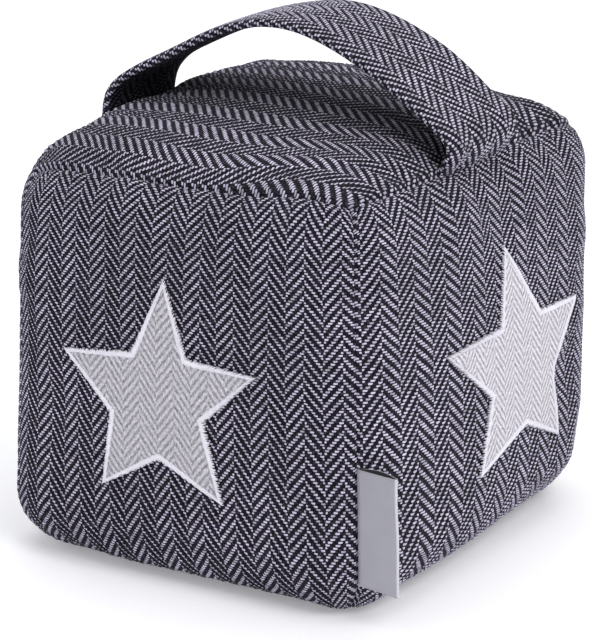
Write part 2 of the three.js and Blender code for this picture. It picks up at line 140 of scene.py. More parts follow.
class Lid(Panel):
    def __init__(self, side, edge_angle, crown):
        self.side, self.crown = side, crown
        self.width = 2 * (HALF_Y - EDGE + EDGE * edge_angle)
        self.length = 2 * (HALF_X - EDGE + EDGE * edge_angle)

    def place(self, s, t):
        x, ax = around_edge(t, HALF_X)
        y, ay = around_edge(-self.side * s, HALF_Y)
        out = unit(np.stack([np.tan(ax), np.tan(ay), np.ones_like(x)], -1)) * EDGE
        a, b = 2 * s / self.width, 2 * t / self.length
        rise = out[..., 2] - EDGE + self.crown * dome(a, b)
        z = HEIGHT + rise if self.side > 0 else -rise
        return settle(np.stack([x + out[..., 0], y + out[..., 1], z], -1))


sides = [Side(turn) for turn in range(4)]
top = Lid(1, QUARTER, CROWN)
base = Lid(-1, math.pi / 2 - WRAP, 0.0)


# ---- cloth coordinates: columns across, picks along ----

class Cloth:
    """Columns of mirrored ribs. column() counts columns across a panel and pick() picks along it.

    With a slope the picks lie closer together towards one end of the panel."""

    def __init__(self, width, pitch, slope=0.0):
        self.width, self.pitch, self.slope = width, pitch, slope

    def pick(self, t):
        t = np.asarray(t, float)
        if self.slope == 0:
            return REPEAT * t / self.pitch
        return -REPEAT / self.slope * np.log(1 - self.slope * t / self.pitch)

    def at_pick(self, v):
        v = np.asarray(v, float)
        if self.slope == 0:
            return self.pitch * v / REPEAT
        return self.pitch / self.slope * (1 - np.exp(-self.slope * v / REPEAT))

    def column(self, s, t=0.0):
        return np.asarray(s, float) / self.width

    def at_column(self, c):
        return np.asarray(c, float) * self.width


class Sampled(Cloth):
    """Columns whose widths change slowly across the panel, as the cloth is drawn over the filling."""

    def __init__(self, places, first, pitch, slope):
        super().__init__(1.0, pitch, slope)
        self.places = np.asarray(places, float)
        self.numbers = first + np.arange(len(places), dtype=float)

    def column(self, s, t=0.0):
        return np.interp(s, self.places, self.numbers)

    def at_column(self, c):
        return np.interp(c, self.numbers, self.places)


def front_columns():
    """Counted leftwards from the right seam, where they are widest in the photograph."""
    i = np.arange(-2, 25, dtype=float)
    s = 61.8 - 6.35 * i + 0.02 * i * i
    return Sampled(s[::-1], 1 - i[-1], 3.65, 0.009)


def right_columns():
    """Counted rightwards from the left seam. They are wider in the first third, as in the photograph."""
    i = np.arange(-2, 24, dtype=float)
    s = -68.5 + 6.68 * i + 9 * smooth(i, 0.5, 7.5)
    return Sampled(s, i[0], 3.9, 0.012)


class TopCloth(Cloth):
    """The top's columns, counted back from the front seam.

    Each line between two columns has its place in the panel's middle, and how much further back
    it lies towards the right end (BOW) and the left end (DROOP)."""

    LINES = (78.0, 69.3, 63.0, 56.0, 48.0, 39.3, 30.3, 21.3, 12.3, 3.3, -5.4, -14.0)
    BOW = (6.0, 7.5, 11.0, 12.0, 10.5, 8.0, 6.0, 3.0, 1.0, 0.0, 0.0, 0.0)
    DROOP = (0.5, 0.8, 1.7, 2.3, 3.3, 2.5, 0.8, 0.3, 0.0, 0.0, 0.0, 0.0)
    WIDTH_BEHIND, LINES_BEHIND = 8.7, 8
    ROUNDS = 12

    def __init__(self, pitch, slope):
        super().__init__(self.WIDTH_BEHIND, pitch, slope)
        behind = self.LINES[-1] - self.width * np.arange(1, self.LINES_BEHIND + 1)
        still = np.zeros(self.LINES_BEHIND)
        self.lines = np.concatenate([self.LINES, behind])[::-1]
        self.bow = np.concatenate([self.BOW, still])[::-1]
        self.droop = np.concatenate([self.DROOP, still])[::-1]
        self.numbers = (-np.arange(len(self.lines), dtype=float) + 1)[::-1]

    def column(self, s, t=0.0):
        s, t = np.broadcast_arrays(np.asarray(s, float), np.asarray(t, float))
        right, left = smooth(t, 8, 46), smooth(-t, 0, 50)
        flat = s
        for _ in range(self.ROUNDS):
            bow = np.interp(flat, self.lines, self.bow)
            droop = np.interp(flat, self.lines, self.droop)
            flat = s + bow * right + droop * left
        return np.interp(flat, self.lines, self.numbers)


cloths = [front_columns(), right_columns(), Cloth(6.3, 3.75), Cloth(6.6, 3.8)]
top_cloth = TopCloth(3.77, -0.0114)
base_cloth = Cloth(6.6, 3.8)


def climb(column):
    """How many picks the ribs have climbed at this place: up in even columns and down in odd ones."""
    c = np.floor(column)
    f = (column - c) * ENDS
    return np.where(c % 2 == 0, f, ENDS - f)


def rib(column, pick):
    """The relief of the ribs, from -1 to 1, nothing where the columns meet."""
    c = np.floor(column)
    f = (column - c) * ENDS
    phase = np.where(c % 2 == 0, pick - f - 0.5, pick + f - 2.5)
    edge = np.minimum(f, ENDS - f) / ENDS
    return np.cos(2 * np.pi * phase / REPEAT) * smooth(edge, 0.0, 0.11)


# ---- meshes ----

class Surface:
    """Vertices in millimetres, and triangles and quads with their cloth coordinates."""

    def __init__(self):
        self.parts, self.count = [], 0
        self.faces, self.uvs, self.marks = [], [], []

    def add(self, points):
        points = np.asarray(points, float)
        flat = points.reshape(-1, 3)
        ids = np.arange(self.count, self.count + len(flat)).reshape(points.shape[:-1])
        self.parts.append(flat)
        self.count += ids.size
        return ids

    def grid(self, ids, uv, mark=0, closed=False, flip=False):
        if closed:
            ids = np.concatenate([ids, ids[:, :1]], 1)
            uv = np.concatenate([uv, uv[:, :1]], 1)
        quads = np.stack([ids[:-1, :-1], ids[:-1, 1:], ids[1:, 1:], ids[1:, :-1]], -1)
        uvs = np.stack([uv[:-1, :-1], uv[:-1, 1:], uv[1:, 1:], uv[1:, :-1]], -2)
        quads, uvs = quads.reshape(-1, 4), uvs.reshape(-1, 4, 2)
        if flip:
            quads, uvs = quads[:, ::-1], uvs[:, ::-1]
        self.faces += quads.tolist()
        self.uvs += uvs.reshape(-1, 2).tolist()
        self.marks += [mark] * len(quads)

    def polygon(self, ids, uvs, mark=0):
        self.faces.append([int(i) for i in ids])
        self.uvs += [list(uv) for uv in uvs]
        self.marks.append(mark)

    def band(self, outer, inner, flip=False):
        """Fills between two lines that run the same way.

        Each line gives its points, their places along it and their cloth coordinates."""
        (oid, opos, ouv), (iid, ipos, iuv) = outer, inner
        i = j = 0
        while i < len(oid) - 1 or j < len(iid) - 1:
            outer_left, inner_left = i < len(oid) - 1, j < len(iid) - 1
            if not inner_left or (outer_left and opos[i] + opos[i + 1] <= ipos[j] + ipos[j + 1]):
                corners = [(oid[i], ouv[i]), (oid[i + 1], ouv[i + 1]), (iid[j], iuv[j])]
                i += 1
            else:
                corners = [(iid[j + 1], iuv[j + 1]), (iid[j], iuv[j]), (oid[i], ouv[i])]
                j += 1
            if flip:
                corners.reverse()
            self.polygon(*zip(*corners))

    def fan(self, ids, uv, middle, middle_uv, mark=0, flip=False):
        """Closes a ring of points to its middle."""
        ring = list(zip(ids, uv))
        for a, b in zip(ring, ring[1:] + ring[:1]):
            if flip:
                a, b = b, a
            self.polygon((a[0], b[0], middle), (a[1], b[1], middle_uv), mark)

    def points(self):
        return np.concatenate(self.parts, 0)


def placed(name, data):
    thing = bpy.data.objects.new(name, data)
    bpy.context.scene.collection.objects.link(thing)
    return thing


def make(name, surface, materials):
    mesh = bpy.data.meshes.new(name)
    mesh.from_pydata((surface.points() * 0.001).tolist(), [], surface.faces)
    layer = mesh.uv_layers.new(name="weave")
    layer.data.foreach_set("uv", np.asarray(surface.uvs, np.float32).ravel())
    for material in materials:
        mesh.materials.append(material)
    mesh.polygons.foreach_set("material_index", np.asarray(surface.marks, np.int32))
    mesh.polygons.foreach_set("use_smooth", np.full(len(surface.faces), True))
    mesh.update()
    mesh.validate()
    return placed(name, mesh)


# ---- material nodes ----

class Nodes:
    """A material and short names for its nodes' sums."""

    def __init__(self, name):
        self.material = bpy.data.materials.new(name)
        self.material.use_nodes = True
        self.tree = self.material.node_tree
        self.shader = self.tree.nodes["Principled BSDF"]

    def new(self, kind, **settings):
        node = self.tree.nodes.new(kind)
        for key, value in settings.items():
            setattr(node, key, value)
        return node

    def link(self, source, target):
        if hasattr(source, "is_output"):
            self.tree.links.new(source, target)
        else:
            target.default_value = source

    def put(self, name, value):
        self.link(value, self.shader.inputs[name])

    def math(self, operation, *values, clamp=False):
        node = self.new("ShaderNodeMath", operation=operation, use_clamp=clamp)
        for socket, value in zip(node.inputs, values):
            self.link(value, socket)
        return node.outputs[0]

    def plus(self, a, b):
        return self.math("ADD", a, b)

    def minus(self, a, b, clamp=False):
        return self.math("SUBTRACT", a, b, clamp=clamp)

    def times(self, a, b, then_plus=None):
        if then_plus is None:
            return self.math("MULTIPLY", a, b)
        return self.math("MULTIPLY_ADD", a, b, then_plus)

    def mix(self, factor, a, b):
        node = self.new("ShaderNodeMix", data_type="RGBA")
        self.link(factor, node.inputs[0])
        for socket, colour in ((node.inputs[6], a), (node.inputs[7], b)):
            self.link(colour if hasattr(colour, "is_output") else (*colour, 1.0), socket)
        return node.outputs[2]

    def scale(self, colour, amount):
        node = self.new("ShaderNodeVectorMath", operation="SCALE")
        self.link(colour, node.inputs[0])
        self.link(amount, node.inputs[3])
        return node.outputs[0]

    def ramp(self, value, low, high, to_low=0.0, to_high=1.0):
        node = self.new("ShaderNodeMapRange", interpolation_type="SMOOTHSTEP")
        for socket, v in zip(node.inputs, (value, low, high, to_low, to_high)):
            self.link(v, socket)
        return node.outputs[0]

    def combine(self, *values):
        node = self.new("ShaderNodeCombineXYZ")
        for socket, value in zip(node.inputs, values):
            self.link(value, socket)
        return node.outputs[0]

    def split(self, vector):
        node = self.new("ShaderNodeSeparateXYZ")
        self.link(vector, node.inputs[0])
        return node.outputs[0], node.outputs[1]

    def object_place(self):
        return self.new("ShaderNodeTexCoord").outputs["Object"]

    def weave_place(self):
        return self.new("ShaderNodeUVMap", uv_map="weave").outputs[0]

    def noise(self, scale, detail=2.0, vector=None, rough=0.5, output=0):
        node = self.new("ShaderNodeTexNoise")
        node.inputs["Scale"].default_value = scale
        node.inputs["Detail"].default_value = detail
        node.inputs["Roughness"].default_value = rough
        self.link(self.object_place() if vector is None else vector, node.inputs["Vector"])
        return node.outputs[output]

    def random(self, *values):
        node = self.new("ShaderNodeTexWhiteNoise", noise_dimensions="3D")
        self.link(self.combine(*values), node.inputs[0])
        return node.outputs["Value"]

    def bump(self, height, distance):
        node = self.new("ShaderNodeBump")
        node.inputs["Distance"].default_value = distance
        self.link(height, node.inputs["Height"])
        self.put("Normal", node.outputs[0])

    def wandering(self, scale, reach):
        """The cloth's coordinates, in which its threads wander a little."""
        place = self.weave_place()
        shift = self.new("ShaderNodeVectorMath", operation="MULTIPLY_ADD")
        self.link(self.noise(scale, vector=place, output="Color"), shift.inputs[0])
        shift.inputs[1].default_value = (reach, reach, 0)
        self.link(place, shift.inputs[2])
        return self.split(shift.outputs[0])

    def columns(self, u):
        """Each column's number, 1 in odd ones and 0 in even ones, and 1 or -1 likewise."""
        column = self.math("FLOOR", self.math("DIVIDE", u, float(ENDS)))
        odd = self.math("FLOORED_MODULO", column, 2.0)
        return column, odd, self.minus(self.times(odd, 2.0), 1.0)


def linear(*rgb):
    """Linear values for screen values from 0 to 255."""
    return tuple((c / 255 / 12.92) if c <= 10 else ((c / 255 + 0.055) / 1.055) ** 2.4 for c in rgb)


def herringbone(name, warp, weft, gap, sheen=0.02, fluff=0.14):
    """Two-and-two twill that turns at each column: weft floats over two ends, warp floats over two picks."""
    n = Nodes(name)
    u, v = n.wandering(0.35, 0.55)
    column, odd, sign = n.columns(u)
    even = n.minus(1.0, odd)
    end, pick = n.math("FLOOR", u), n.math("FLOOR", v)
    fu, fv = n.math("FRACT", u), n.math("FRACT", v)
    local = n.minus(end, n.times(column, float(ENDS)))
    turned = n.plus(n.times(local, sign), n.times(odd, 3.0))
    step = n.math("FLOORED_MODULO", n.plus(pick, turned), float(REPEAT))
    is_weft = n.math("LESS_THAN", step, 1.5)
    # Along each float, 0 to 1 over two ends or two picks
    half = n.plus(n.times(odd, step), n.times(even, n.minus(1.0, step)))
    along_weft = n.times(n.plus(fu, half), 0.5)
    along_warp = n.times(n.plus(fv, n.minus(step, 2.0)), 0.5)

    def away(value, power):
        centred = n.math("ABSOLUTE", n.minus(n.times(value, 2.0), 1.0))
        return n.math("POWER", centred, power)

    weft_body = n.minus(1.0, n.plus(away(fv, 2.0), away(along_weft, 7.0)), clamp=True)
    warp_body = n.minus(1.0, n.plus(away(fu, 2.0), away(along_warp, 4.0)), clamp=True)
    # Each float and each pick has its own brightness
    own_weft = n.random(n.minus(end, half), pick, 3.0)
    own_warp = n.random(end, n.minus(pick, step), 11.0)
    yarn = n.random(pick, 5.0, 7.0)
    fibre = n.noise(2600.0, 3.0, rough=0.7)
    # Each float is painted lighter at its crown and darker towards its ends and sides, painted shade of the
    # round yarn over its own tone, and the gap colour between the floats is painted shade
    weft_tone_and_shade = n.times(n.ramp(weft_body, 0.18, 0.96), n.times(own_weft, 0.6, 0.58))
    weft_tone_and_shade = n.times(weft_tone_and_shade, n.times(yarn, 0.2, 0.9))
    weft_tone_and_shade = n.times(weft_tone_and_shade, n.times(fibre, 0.6, 0.72))
    warp_tone_and_shade = n.times(n.ramp(warp_body, 0.1, 0.8, 0.15, 1.0), n.times(own_warp, 1.2, 0.5))
    colour = n.mix(is_weft, n.mix(warp_tone_and_shade, gap, warp), n.mix(weft_tone_and_shade, gap, weft))
    # Loose fibres of the light yarn over the dark one
    loose = n.noise(1500.0, 4.0, rough=0.75)
    colour = n.mix(n.ramp(loose, 0.5, 0.72, 0.0, fluff), colour, weft)
    # The cloth as a whole is a little lighter and darker from place to place
    cloud = n.noise(24.0, 3.0)
    n.put("Base Color", n.scale(colour, n.ramp(cloud, 0.3, 0.7, 0.9, 1.1)))
    weft_height = n.times(is_weft, weft_body)
    warp_height = n.times(n.minus(1.0, is_weft), n.times(warp_body, 0.8))
    n.bump(n.plus(n.plus(weft_height, warp_height), n.times(fibre, 0.35)), 0.00016)
    n.put("Roughness", n.ramp(fibre, 0.3, 0.7, 0.86, 0.98))
    n.put("Sheen Weight", sheen)
    n.put("Sheen Roughness", 0.6)
    n.put("Specular IOR Level", 0.1)
    return n.material


# The colour between the floats is painted shade, darker than both yarns
DARK_YARN, LIGHT_YARN, SHADE_BETWEEN_YARNS = linear(27, 23, 36), linear(208, 202, 224), linear(3, 3, 5)
charcoal = herringbone("charcoal_herringbone", DARK_YARN, LIGHT_YARN, SHADE_BETWEEN_YARNS)
strap_cloth = herringbone("strap_herringbone", DARK_YARN, LIGHT_YARN, SHADE_BETWEEN_YARNS)
# The strap's underside: the same cloth in darker colours, painted shade under the handle
strap_painted_shade = herringbone("strap_underside_painted_shade", linear(24, 22, 29), linear(84, 81, 94), linear(8, 7, 11),
                          sheen=0.0, fluff=0.05)

# How many picks a rib of the stars' cloth climbs for each end
STAR_RISE = 1.3


def pale_material():
    """The stars' cloth: one soft grey yarn, so its ribs show by relief and by painted shade between them,
    under brushed fibres.
    """
    n = Nodes("pale_herringbone")
    u, v = n.wandering(0.45, 1.1)
    column, _, sign = n.columns(u)
    local = n.minus(u, n.times(column, float(ENDS)))
    climbed = n.times(n.times(local, sign), STAR_RISE)
    phase = n.plus(v, climbed)
    # The ribs' painted shade: lighter on their crowns and darker between them
    wave = n.times(n.math("COSINE", n.times(phase, 2 * math.pi / REPEAT)), 0.5, 0.5)
    wave = n.ramp(wave, 0.1, 0.8)
    # Brushed fibres: some lie along the ribs and most stand across them
    across = n.combine(n.times(phase, 2.2), n.times(n.minus(v, climbed), 0.28), column)
    streak = n.noise(1.0, 3.0, across, 0.65)
    dash = n.combine(n.times(n.minus(u, n.times(v, 0.3)), 1.7), n.times(v, 0.75))
    tuft = n.noise(1.0, 3.0, dash, 0.6)
    fibre = n.noise(2300.0, 3.0, rough=0.7)
    amount = n.plus(n.times(wave, 0.4), n.times(n.ramp(streak, 0.34, 0.66), 0.16))
    amount = n.plus(amount, n.times(n.ramp(tuft, 0.38, 0.62), 0.34))
    amount = n.plus(amount, n.times(n.ramp(fibre, 0.36, 0.64), 0.16))
    colour = n.mix(amount, linear(104, 100, 115), linear(252, 248, 255))
    # The right star's cloth is painted lighter and the front one's darker: painted light on the right side
    # and painted shade on the front
    x, _ = n.split(n.object_place())
    n.put("Base Color", n.scale(colour, n.ramp(x, 0.03, 0.06, 0.82, 1.08)))
    n.bump(amount, 0.00022)
    n.put("Roughness", n.ramp(fibre, 0.3, 0.7, 0.84, 0.97))
    n.put("Sheen Weight", 0.05)
    n.put("Specular IOR Level", 0.15)
    return n.material


def thread_material():
    n = Nodes("white_thread")
    streak = n.noise(900.0, 3.0, rough=0.7)
    cloud = n.noise(60.0)
    tone = n.times(n.ramp(streak, 0.35, 0.65, 0.8, 1.08), n.ramp(cloud, 0.3, 0.7, 0.9, 1.03))
    n.put("Base Color", n.mix(tone, linear(184, 182, 194), linear(240, 238, 247)))
    n.put("Roughness", n.ramp(streak, 0.3, 0.7, 0.42, 0.6))
    n.put("Sheen Weight", 0.2)
    n.put("Anisotropic", 0.4)
    n.bump(streak, 0.00004)
    return n.material


# Where the fold lies along the ribbon, and where its outside ends and its inner faces, painted near-black as
# painted shade inside the fold, begin
LABEL_FOLD = 15.2
LABEL_ROUND = 30.5


def ribbon_material():
    n = Nodes("satin_ribbon")
    u, v = n.split(n.weave_place())
    # Fine ribs of the satin, along the ribbon and across it
    fine = n.math("SINE", n.times(v, 2 * math.pi / 0.22))
    cross = n.math("SINE", n.times(u, 2 * math.pi / 0.3))
    weave = n.times(n.times(fine, cross), 0.5, 0.5)
    cloud = n.noise(140.0, 3.0)
    tone = n.times(cloud, 0.35, n.times(weave, 0.25))
    face = n.mix(tone, linear(146, 145, 155), linear(188, 187, 198))
    # The fold is painted paler: a painted highlight along its round edge
    fold = n.ramp(n.math("ABSOLUTE", n.minus(u, LABEL_FOLD)), 0.35, 0.95, 0.55, 0.0)
    outside = n.mix(fold, face, linear(238, 238, 246))
    # The ribbon's inner faces, inside the fold, are painted near-black: painted shade in the gap between its
    # plies
    inside = n.ramp(u, LABEL_ROUND, LABEL_ROUND + 0.3)
    n.put("Base Color", n.mix(inside, outside, linear(7, 7, 10)))
    n.put("Roughness", n.ramp(cloud, 0.3, 0.7, 0.34, 0.46))
    n.put("Anisotropic", 0.5)
    n.put("Sheen Weight", 0.15)
    n.bump(weave, 0.00003)
    return n.material


star_cloth = pale_material()


thread = thread_material()
ribbon = ribbon_material()


# ---- how the filling and the sewing shape the cover: a cloth simulation on a coarse copy ----

SIM_STEPS_X, SIM_STEPS_Y, SIM_STEPS_Z = 32, 34, 32
SIM_FRAMES = 20
SIM_CAP = 0.7
BLUR_ROUNDS = 60


def add_side(surface, grids, points):
    """Adds a side panel's points. Its upright seams share theirs with the panels beside it."""
    k = len(grids)
    start, stop = (1 if k else 0), points.shape[1] - (1 if k == 3 else 0)
    ids = np.empty(points.shape[:2], int)
    ids[:, start:stop] = surface.add(points[:, start:stop])
    if k:
        ids[:, 0] = grids[-1][:, -1]
    if k == 3:
        ids[:, -1] = grids[0][:, 0]
    grids.append(ids)
    return ids


def panel_lines(panel, across, along):
    return (np.linspace(-panel.width / 2, panel.width / 2, across + 1),
            np.linspace(-panel.length / 2, panel.length / 2, along + 1))


def coarse_cover():
    """A closed coarse cover: the side panels' grids, and the top and base inside their borders."""
    surface = Surface()
    grids, lids = [], []
    for k, panel in enumerate(sides):
        s, t = panel_lines(panel, SIM_STEPS_Y if k % 2 else SIM_STEPS_X, SIM_STEPS_Z)
        add_side(surface, grids, panel.point(s[None, :], t[:, None]))
    for panel, row in ((top, -1), (base, 0)):
        s, t = panel_lines(panel, SIM_STEPS_Y, SIM_STEPS_X)
        ids = np.empty((len(t), len(s)), int)
        ids[1:-1, 1:-1] = surface.add(panel.point(s[None, 1:-1], t[1:-1, None]))
        front, right, back, left = [g[row] for g in grids]
        if panel is top:
            ids[:, -1], ids[-1, :], ids[:, 0], ids[0, :] = front, right[::-1], back[::-1], left
        else:
            ids[:, 0], ids[-1, :], ids[:, -1], ids[0, :] = front, right, back[::-1], left[::-1]
        lids.append(ids)
    for ids in grids + lids:
        surface.grid(ids, np.zeros((*ids.shape, 2)))
    return surface, grids, lids


def blurred(values, pairs, rounds):
    """The points' values, each drawn halfway to its neighbours' mean, round after round."""
    for _ in range(rounds):
        total, near = np.zeros_like(values), np.zeros(len(values))
        np.add.at(total, pairs[:, 0], values[pairs[:, 1]])
        np.add.at(near, pairs[:, 0], 1)
        values = 0.5 * values + 0.5 * total / near[:, None]
    return values


def inflated(surface, grids):
    """Where a cloth simulation leaves the coarse cover's points, blown up and its seams drawn up."""
    piece = make("cover_trial", surface, [])
    seam = set()
    for g in grids:
        seam |= set(g[:, 0].tolist()) | set(g[:, -1].tolist()) | set(g[-1].tolist())
    drawn = piece.vertex_groups.new(name="drawn")
    drawn.add(sorted(seam), 1.0, "REPLACE")
    held = piece.vertex_groups.new(name="held")
    held.add([int(i) for i in np.where(surface.points()[:, 2] < 2.0)[0]], 1.0, "REPLACE")
    cloth = piece.modifiers.new("cloth", "CLOTH")
    c = cloth.settings
    c.quality = 6
    c.mass = 0.25
    c.tension_stiffness = c.compression_stiffness = 12
    c.shear_stiffness = 8
    c.bending_stiffness = 0.4
    c.use_pressure = True
    c.uniform_pressure_force = 4.0
    c.effector_weights.gravity = 0.0
    c.vertex_group_mass = "held"
    c.vertex_group_shrink = "drawn"
    c.shrink_min, c.shrink_max = -0.01, 0.07
    cloth.point_cache.frame_start, cloth.point_cache.frame_end = 1, SIM_FRAMES
    for step in range(1, SIM_FRAMES + 1):
        bpy.context.scene.frame_set(step)
    shaped = piece.evaluated_get(bpy.context.evaluated_depsgraph_get()).to_mesh()
    out = np.zeros(len(shaped.vertices) * 3, np.float32)
    shaped.vertices.foreach_get("co", out)
    bpy.context.scene.frame_set(1)
    bpy.data.objects.remove(piece)
    return out.reshape(-1, 3).astype(float) * 1000


def simulate_cover():
    """The puckers of the filled cover, as moves of the coarse cover's points."""
    surface, grids, lids = coarse_cover()
    moved = np.zeros_like(surface.points())
    moved = inflated(surface, grids) - surface.points()
    # Only the puckers are kept: what moved a whole side together is taken off
    quads = np.array(surface.faces)
    pairs = np.concatenate([quads[:, [k, (k + 1) % 4]] for k in range(4)])
    moved = blurred(moved - blurred(moved, pairs, BLUR_ROUNDS), pairs, 2)
    size = np.linalg.norm(moved, axis=1, keepdims=True)
    moved *= np.tanh(size / SIM_CAP) * SIM_CAP / np.maximum(size, 1e-6)
    return [moved[g] for g in grids], [moved[g] for g in lids]


def sample(field, a, b):
    """A field on a regular grid, read with Catmull-Rom weights at a across and b along, each from 0 to 1."""
    rows, cols = field.shape[:2]
    total = 0
    x, y = np.clip(a, 0, 1) * (cols - 1), np.clip(b, 0, 1) * (rows - 1)
    x0, y0 = np.minimum(x.astype(int), cols - 2), np.minimum(y.astype(int), rows - 2)

    def weights(f):
        return (0.5 * (-f + 2 * f ** 2 - f ** 3), 0.5 * (2 - 5 * f ** 2 + 3 * f ** 3),
                0.5 * (f + 4 * f ** 2 - 3 * f ** 3), 0.5 * (f ** 3 - f ** 2))

    for dy, wy in zip((-1, 0, 1, 2), weights(y - y0)):
        for dx, wx in zip((-1, 0, 1, 2), weights(x - x0)):
            part = field[np.clip(y0 + dy, 0, rows - 1), np.clip(x0 + dx, 0, cols - 1)]
            total = total + part * (wy * wx)[..., None]
    return total


side_moves, lid_moves = simulate_cover()
moves = dict(zip([id(p) for p in sides + [top, base]], side_moves + lid_moves))

# Soft corrections of the block's shape: where each is, how far it moves the cover, and its reach
PUSHES = [
    ((72, 74, 128), (2.0, 1.4, -0.2), (20, 24, 26)),
    ((72, 74, 80), (1.2, 0.9, 0), (20, 24, 34)),
    ((66, 68, 142), (0.8, 0.7, -0.8), (14, 14, 13)),
    ((-70, -75, 120), (1.6, 0.3, 0), (22, 24, 34)),
    ((-70, -75, 25), (-2.4, -0.3, 0), (22, 24, 32)),
    ((-66, -70, 6), (-1.4, -1.0, 0.4), (14, 14, 14)),
    ((-64, -70, 134), (1.5, 0.6, -1.2), (14, 14, 14)),
    ((0, -72, 6), (0, -1.0, -1.4), (68, 12, 10)),
    ((72, -22, 6), (0.9, 0, -1.1), (12, 42, 10)),
    ((70, 75, 12), (-2.8, -2.2, 4.0), (17, 17, 16)),
    ((72, 45, 5), (-0.7, 0, 0.8), (12, 30, 10)),
    ((40, 72, 138), (0, 0, -1.0), (22, 16, 14)),
    ((-52, -73, 4), (0, 0.4, 0.9), (14, 12, 9)),
    ((-24, -73, 3), (0, -0.3, -0.6), (14, 12, 9)),
    ((66, -69, 134), (0, 0, 2.4), (9, 10, 9)),
    ((45, -72, 134), (0, -0.2, 2.0), (14, 10, 9)),
    ((38, -72, 134), (0, 0, 1.4), (34, 12, 10)),
    ((70, -42, 134), (0, 0, 1.2), (12, 26, 10)),
    ((53.2, -69.4, 132.2), (-0.2, 1.0, -0.4), (2.2, 3, 2)),
    ((55.6, -69.9, 130.6), (-0.2, 1.3, -0.3), (1.9, 3, 2.6)),
    ((58.9, -63.5, 135.0), (0, 0.2, -1.0), (2.6, 1.8, 3)),
    ((62.5, -66.5, 133.0), (-0.4, 0.7, -0.9), (1.8, 2.2, 2)),
]


def pushed(p):
    """The block's points, moved by what is near them of the soft corrections, and none below the floor."""
    for centre, vector, reach in PUSHES:
        weight = np.exp(-(((p - np.array(centre)) / np.array(reach)) ** 2).sum(-1))
        p = p + weight[..., None] * np.array(vector)
    p[..., 2] = np.maximum(p[..., 2], 0)
    return p


def puckers(panel, s, t):
    return sample(moves[id(panel)], s / panel.width + 0.5, t / panel.length + 0.5)


UPRIGHT_DEEPER = 1.1
RIBS_FADE = (0.6, 2.2)
# The turned-in edges inside the top seam raise a low ridge beside it
RIDGE_PLACE, RIDGE_HALF_WIDTH = 2.3, 1.1
RIDGE_ON_TOP, RIDGE_ON_SIDES = 0.5, 0.2


def cover_point(panel, s, t, relief):
    """A point of the finished cover: the block's surface with its ribs, its sunk seams and its puckers."""
    s, t = np.broadcast_arrays(np.asarray(s, float), np.asarray(t, float))
    p = pushed(panel.point(s, t))
    ds, dt = panel.width / 2 - np.abs(s), panel.length / 2 - np.abs(t)
    near = np.minimum(ds, dt)
    depth = SEAM_DEPTH * (1 - np.clip(near / SEAM_REACH, 0, 1)) ** 2.2
    if panel is base:
        depth = 0 * depth
    elif panel is not top:
        depth = np.where(ds < dt, UPRIGHT_DEEPER, 1) * np.where((dt < ds) & (t < 0), 0, depth)
    ridge = hump(near, RIDGE_PLACE, RIDGE_HALF_WIDTH) * (
        RIDGE_ON_TOP if panel is top else np.where((dt < ds) & (t > 0), RIDGE_ON_SIDES, 0))
    height = (relief * RIB_HEIGHT + ridge) * smooth(near, *RIBS_FADE)
    inward = unit(np.array([0, 0, HEIGHT / 2]) - p)
    p = p + panel.normal(s, t) * height[..., None] + inward * depth[..., None]
    p = p + puckers(panel, s, t)
    p[..., 2] = np.maximum(p[..., 2], 0)
    return p


# ---- filled body ----

ROW_STEP = 0.94
TOP_STEP, BASE_STEP = 1.02, 3.2
LID_MARGIN = 2.4
# How far from its seams a side's rows climb freely with the ribs
FREE_OF_END, FREE_OF_EDGE = 14, 3.2


def spaced(values, half):
    """The inner lines that keep a gap from each other and from the seam's own lines."""
    kept, gap = [], 0.3
    end = half - SEAM_REACH - gap
    for v in sorted(values):
        if -end < v < end and (not kept or v - kept[-1] > gap * 0.4):
            kept.append(v)
    return kept


def between_seams(half, inner, lines):
    """The seams' own lines at both ends of a panel, with the inner lines between them."""
    return np.array([d - half for d in lines] + list(inner) + [half - d for d in lines[::-1]])


def lid_lines(half, step):
    end = half - LID_MARGIN
    return between_seams(half, np.linspace(-end, end, int(2 * end / step)), SEAM_LINES[1:])


def side_grid(surface, grids, panel, cloth):
    """Adds a side panel, with its points laid along the ribs, and gives the places of its columns."""
    edge, end = panel.width / 2, panel.length / 2
    numbers = range(math.floor(cloth.column(-edge)), math.ceil(cloth.column(edge)) + 1)
    inner = [float(cloth.at_column(c + f)) for c in numbers for f in LINES_IN_COLUMN]
    s = between_seams(edge, spaced(inner, edge), SEAM_LINES)
    t = between_seams(end, spaced(ROW_STEP * (np.arange(-110, 110) + 0.5), end), SEAM_LINES)
    column = cloth.column(s)
    near_end = smooth(end - np.abs(t), SEAM_REACH, FREE_OF_END)[:, None]
    near_edge = smooth(edge - np.abs(s), 0, FREE_OF_EDGE)[None, :]
    # Away from the seams each row climbs and falls with the ribs
    shift = (climb(column)[None, :] - ENDS / 2) * near_end * near_edge
    t = cloth.at_pick(cloth.pick(t)[:, None] + shift)
    pick = cloth.pick(t)
    column = np.broadcast_to(column, t.shape)
    points = cover_point(panel, np.broadcast_to(s, t.shape), t, rib(column, pick))
    surface.grid(add_side(surface, grids, points), np.stack([column * ENDS, pick], -1))
    return s


